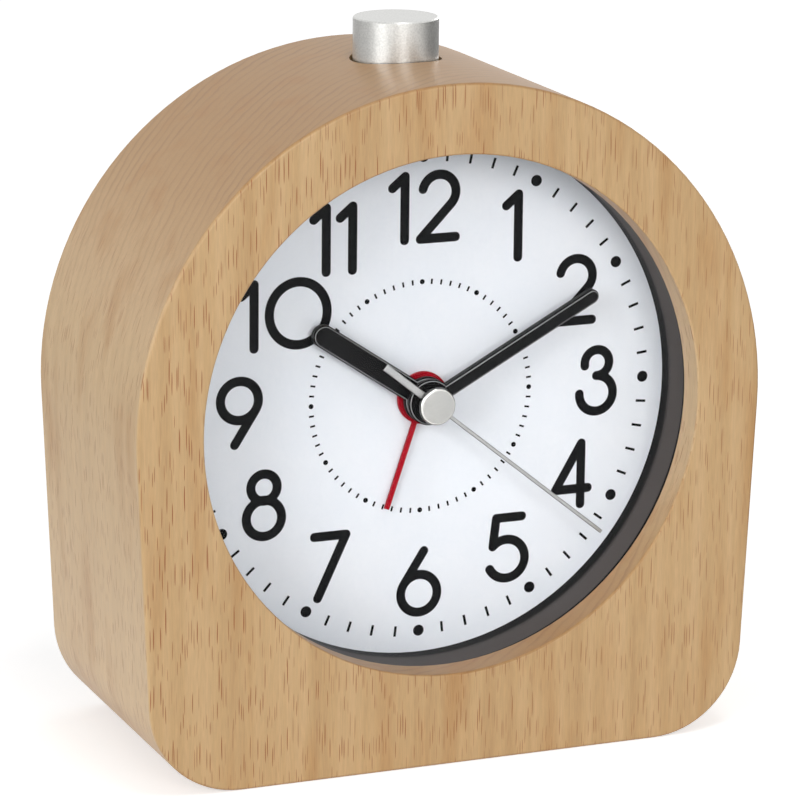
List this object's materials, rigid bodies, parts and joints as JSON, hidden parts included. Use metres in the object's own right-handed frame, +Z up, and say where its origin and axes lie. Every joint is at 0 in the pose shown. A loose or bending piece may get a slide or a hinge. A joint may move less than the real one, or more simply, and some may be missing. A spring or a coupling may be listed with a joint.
{
  "type": "desk alarm clock",
  "caption": "Arched wooden desk alarm clock with a round white dial, black hands, a red alarm hand and a metal push button on top.",
  "frame": {"origin": "middle of the base, on the surface that the clock stands on", "axes": "+X to the right seen from the front, +Y from the front to the back, +Z up"},
  "size_m": [0.1, 0.0464, 0.1103],
  "materials": {
    "beech": "satin lacquer",
    "clear_acrylic": "clear, polished",
    "black_gloss_plastic": "gloss",
    "dial_white": "matt white with black print",
    "hand_red": "satin red paint",
    "hand_black": "satin black paint",
    "polished_silver": "bright",
    "button_aluminium": "satin, turned",
    "gear_plastic": "natural acetal",
    "movement_plastic": "moulded",
    "black_plastic": "fine matt texture",
    "magnet": "bare ferrite",
    "soft_iron": "bare",
    "copper_wire": "enamelled copper",
    "circuit_laminate": "green solder mask",
    "bright_steel": "plated",
    "contact_bronze": "bare",
    "battery_sleeve": "plain dark sleeve"
  },
  "bodies": {
    "clock_body": {"wooden_case": "beech", "lens": "clear_acrylic", "rim_ring": "black_gloss_plastic", "dial": "dial_white", "movement_base": "movement_plastic", "movement_bridge": "movement_plastic", "movement_cover": "movement_plastic", "movement_screws": "bright_steel", "stator": "soft_iron", "coil_core": "soft_iron", "coil_bobbin": "movement_plastic", "coil_winding": "copper_wire", "alarm_contact_spring": "contact_bronze", "circuit_board": "circuit_laminate", "quartz_crystal": "bright_steel", "clock_chip": "black_plastic", "buzzer": "black_plastic", "back_cover": "black_plastic", "back_cover_screws": "bright_steel", "battery": "battery_sleeve", "battery_positive_contact": "bright_steel", "battery_negative_spring": "bright_steel", "button_bush": "black_plastic", "snooze_switch": "black_plastic"},
    "second_hand_group": {"second_hand": "polished_silver", "second_hand_cap": "polished_silver", "second_wheel": "gear_plastic"},
    "minute_hand_group": {"minute_hand": "hand_black", "cannon_pinion": "gear_plastic", "centre_wheel": "gear_plastic"},
    "hour_hand_group": {"hour_hand": "hand_black", "hour_wheel": "gear_plastic"},
    "alarm_hand_group": {"alarm_hand": "hand_red", "alarm_wheel": "gear_plastic"},
    "third_wheel_group": {"third_wheel": "gear_plastic"},
    "motion_wheel_group": {"motion_wheel": "gear_plastic"},
    "intermediate_wheel_group": {"intermediate_wheel": "gear_plastic"},
    "rotor_group": {"rotor": "gear_plastic", "rotor_magnet": "magnet"},
    "time_knob_group": {"time_setting_shaft": "gear_plastic", "time_setting_knob": "black_plastic"},
    "alarm_knob_group": {"alarm_setting_shaft": "gear_plastic", "alarm_setting_knob": "black_plastic"},
    "snooze_group": {"snooze_button": "button_aluminium", "button_stem": "black_plastic", "button_clip": "bright_steel", "button_spring": "bright_steel", "snooze_switch_plunger": "black_plastic"},
    "alarm_switch_group": {"alarm_switch_slider": "black_plastic", "switch_contact": "contact_bronze"},
    "battery_door_group": {"battery_door": "black_plastic"}
  },
  "joints": [
    {"name": "second_hand_spin", "type": "hinge", "parent": "clock_body", "child": "second_hand_group", "pos_m": [0, 0, 0.054], "axis": [0, 1, 0], "continuous": true},
    {"name": "minute_hand_spin", "type": "hinge", "parent": "clock_body", "child": "minute_hand_group", "pos_m": [0, 0, 0.054], "axis": [0, 1, 0], "continuous": true},
    {"name": "hour_hand_spin", "type": "hinge", "parent": "clock_body", "child": "hour_hand_group", "pos_m": [0, 0, 0.054], "axis": [0, 1, 0], "continuous": true},
    {"name": "third_wheel_spin", "type": "hinge", "parent": "clock_body", "child": "third_wheel_group", "pos_m": [-0.00936, 0, 0.05235], "axis": [0, 1, 0], "continuous": true},
    {"name": "motion_wheel_spin", "type": "hinge", "parent": "clock_body", "child": "motion_wheel_group", "pos_m": [-0.00451, 0, 0.06248], "axis": [0, 1, 0], "continuous": true},
    {"name": "intermediate_wheel_spin", "type": "hinge", "parent": "clock_body", "child": "intermediate_wheel_group", "pos_m": [0.00167, 0, 0.06345], "axis": [0, 1, 0], "continuous": true},
    {"name": "rotor_spin", "type": "hinge", "parent": "clock_body", "child": "rotor_group", "pos_m": [0.00348, 0, 0.07022], "axis": [0, 1, 0], "continuous": true},
    {"name": "time_knob_spin", "type": "hinge", "parent": "clock_body", "child": "time_knob_group", "pos_m": [-0.01399, 0, 0.06398], "axis": [0, 1, 0], "continuous": true},
    {"name": "alarm_hand_spin", "type": "hinge", "parent": "clock_body", "child": "alarm_hand_group", "pos_m": [0, 0, 0.054], "axis": [0, 1, 0], "continuous": true},
    {"name": "alarm_knob_spin", "type": "hinge", "parent": "clock_body", "child": "alarm_knob_group", "pos_m": [0.014, 0, 0.06399], "axis": [0, 1, 0], "continuous": true},
    {"name": "snooze_press", "type": "slide", "parent": "clock_body", "child": "snooze_group", "axis": [0, 0, -1], "range_m": [0, 0.0018], "stiffness_N_per_m": 800, "springref_m": -0.002, "deforming": ["button_spring"]},
    {"name": "alarm_switch_slide", "type": "slide", "parent": "clock_body", "child": "alarm_switch_group", "axis": [1, 0, 0], "range_m": [0, 0.004]},
    {"name": "battery_door_swing", "type": "hinge", "parent": "clock_body", "child": "battery_door_group", "pos_m": [0, 0.01555, 0.0269], "axis": [-1, 0, 0], "range_deg": [0, 95]}
  ],
  "couplings": [
    {"joint": "minute_hand_spin", "follows": "second_hand_spin", "ratio": 0.016667},
    {"joint": "hour_hand_spin", "follows": "second_hand_spin", "ratio": 0.0013889},
    {"joint": "third_wheel_spin", "follows": "second_hand_spin", "ratio": -0.125},
    {"joint": "motion_wheel_spin", "follows": "second_hand_spin", "ratio": -0.0055556},
    {"joint": "intermediate_wheel_spin", "follows": "second_hand_spin", "ratio": -5},
    {"joint": "rotor_spin", "follows": "second_hand_spin", "ratio": 30},
    {"joint": "time_knob_spin", "follows": "second_hand_spin", "ratio": 0.016667},
    {"joint": "alarm_knob_spin", "follows": "alarm_hand_spin", "ratio": -1.5}
  ]
}
